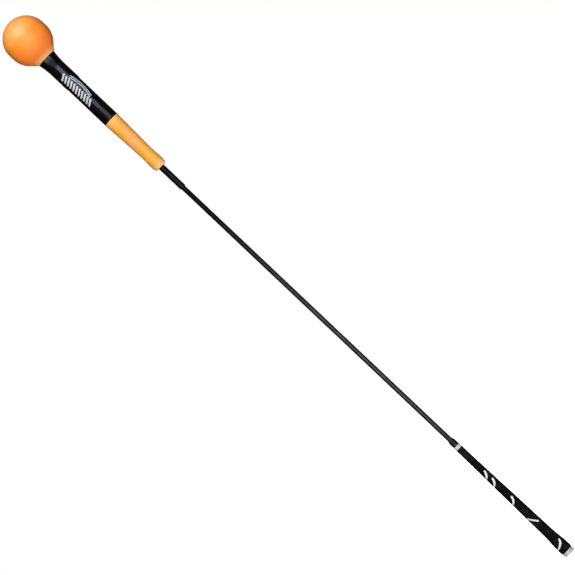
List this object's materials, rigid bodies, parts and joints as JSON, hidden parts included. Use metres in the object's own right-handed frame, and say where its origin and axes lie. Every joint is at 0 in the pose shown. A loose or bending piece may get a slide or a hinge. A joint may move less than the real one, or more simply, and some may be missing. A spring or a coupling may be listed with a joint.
{
  "type": "swing trainer stick",
  "caption": "Golf swing trainer: a weighted orange ball on a whippy glass-fibre rod, with a tapered golden boot, a black neck sleeve and a counterweighted rubber grip.",
  "frame": {"origin": "middle of the butt cap's flat end face, on the stick's axis", "axes": "+Z along the stick from the butt to the ball; -Y is the side that the white marks face; +X completes the right-handed frame"},
  "size_m": [0.0754, 0.0754, 1.219],
  "materials": {
    "pale_cap": "cloudy translucent",
    "steel": "zinc plated",
    "aluminium_alloy": "turned",
    "tape": "matt",
    "grip_rubber": "fine moulded texture",
    "white_paint": "filled paint",
    "white_ring": "satin",
    "black_ferrule": "gloss",
    "rod_composite": "wound glass fibre under clear coat",
    "black_shrink": "gloss",
    "gold_rubber": "satin",
    "spacer_plastic": "moulded",
    "core_iron": "as cast",
    "orange_urethane": "smooth semi-gloss"
  },
  "bodies": {
    "handle": {"butt_cap": "pale_cap", "counterweight": "steel", "rod_socket": "aluminium_alloy", "grip_tape": "tape", "grip": "grip_rubber", "grip_marks": "white_paint", "grip_ring": "white_ring", "ferrule": "black_ferrule", "rod_butt": "rod_composite"},
    "link_1": {"rod_1": "rod_composite"},
    "link_2": {"rod_2": "rod_composite"},
    "link_3": {"rod_3": "rod_composite"},
    "link_4": {"rod_4": "rod_composite"},
    "link_5": {"rod_5": "rod_composite"},
    "link_6": {"rod_6": "rod_composite"},
    "link_7": {"rod_7": "rod_composite"},
    "head": {"rod_tip": "rod_composite", "rod_sleeve": "black_shrink", "boot": "gold_rubber", "boot_end_ring": "spacer_plastic", "lower_spacer": "spacer_plastic", "neck_tube": "steel", "upper_spacer": "spacer_plastic", "neck_sleeve": "black_shrink", "sleeve_print": "white_paint", "tip_adapter": "steel", "lock_nut": "steel", "lock_washer": "steel", "ball_core": "core_iron", "ball_skin": "orange_urethane"}
  },
  "joints": [
    {"name": "bend_1", "type": "hinge", "parent": "handle", "child": "link_1", "pos_m": [0, 0, 0.29719], "axis": [0.7071, 0.7071, 0], "range_deg": [-8, 8], "stiffness_Nm_per_rad": 62},
    {"name": "bend_2", "type": "hinge", "parent": "link_1", "child": "link_2", "pos_m": [0, 0, 0.36956], "axis": [-0.7071, 0.7071, 0], "range_deg": [-8, 8], "stiffness_Nm_per_rad": 62},
    {"name": "bend_3", "type": "hinge", "parent": "link_2", "child": "link_3", "pos_m": [0, 0, 0.44194], "axis": [0.7071, 0.7071, 0], "range_deg": [-8, 8], "stiffness_Nm_per_rad": 62},
    {"name": "bend_4", "type": "hinge", "parent": "link_3", "child": "link_4", "pos_m": [0, 0, 0.51431], "axis": [-0.7071, 0.7071, 0], "range_deg": [-8, 8], "stiffness_Nm_per_rad": 62},
    {"name": "bend_5", "type": "hinge", "parent": "link_4", "child": "link_5", "pos_m": [0, 0, 0.58669], "axis": [0.7071, 0.7071, 0], "range_deg": [-8, 8], "stiffness_Nm_per_rad": 62},
    {"name": "bend_6", "type": "hinge", "parent": "link_5", "child": "link_6", "pos_m": [0, 0, 0.65906], "axis": [-0.7071, 0.7071, 0], "range_deg": [-8, 8], "stiffness_Nm_per_rad": 62},
    {"name": "bend_7", "type": "hinge", "parent": "link_6", "child": "link_7", "pos_m": [0, 0, 0.73144], "axis": [0.7071, 0.7071, 0], "range_deg": [-8, 8], "stiffness_Nm_per_rad": 62},
    {"name": "bend_8", "type": "hinge", "parent": "link_7", "child": "head", "pos_m": [0, 0, 0.80381], "axis": [-0.7071, 0.7071, 0], "range_deg": [-8, 8], "stiffness_Nm_per_rad": 62}
  ]
}
